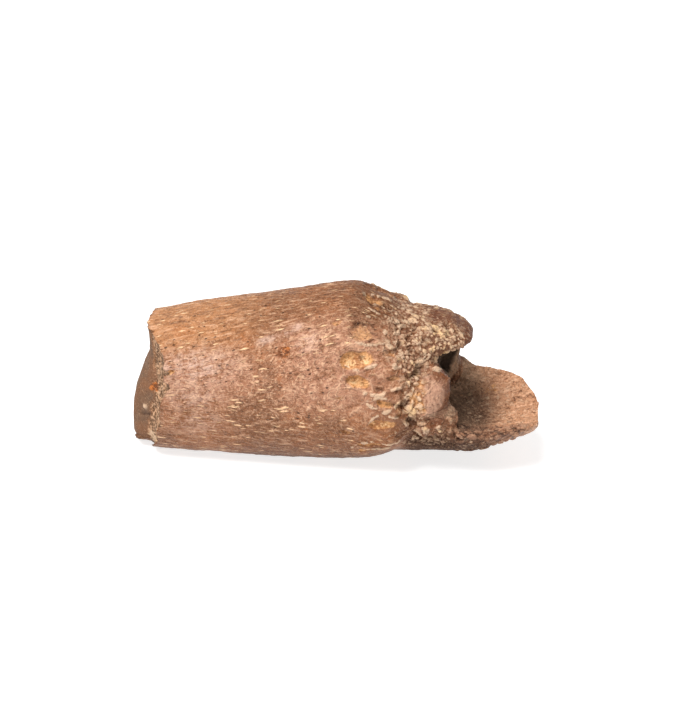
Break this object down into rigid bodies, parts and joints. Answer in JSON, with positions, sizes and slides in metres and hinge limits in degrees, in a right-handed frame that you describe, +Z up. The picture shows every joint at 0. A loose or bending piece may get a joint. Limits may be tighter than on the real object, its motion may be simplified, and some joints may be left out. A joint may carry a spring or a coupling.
{
  "type": "dinosaur fossil claw",
  "caption": "Broken dinosaur claw bone turned to stone: a tapering shaft cut short by an old break, with a knobbly collar, a hooked lip over a hollow joint and a spoon-shaped heel plate.",
  "frame": {"origin": "centre of the bounding box's base, on the surface that the fossil lies on", "axes": "+X along the bone, from the broken tip to the joint end; +Y across it, away from the side that shows best; +Z up"},
  "size_m": [0.0652, 0.0242, 0.0283],
  "materials": {
    "fossil_bone": "satin, pinkish brown with cream mineral in its pits"
  },
  "bodies": {
    "root": {"fossil_claw": "fossil_bone"}
  },
  "joints": []
}
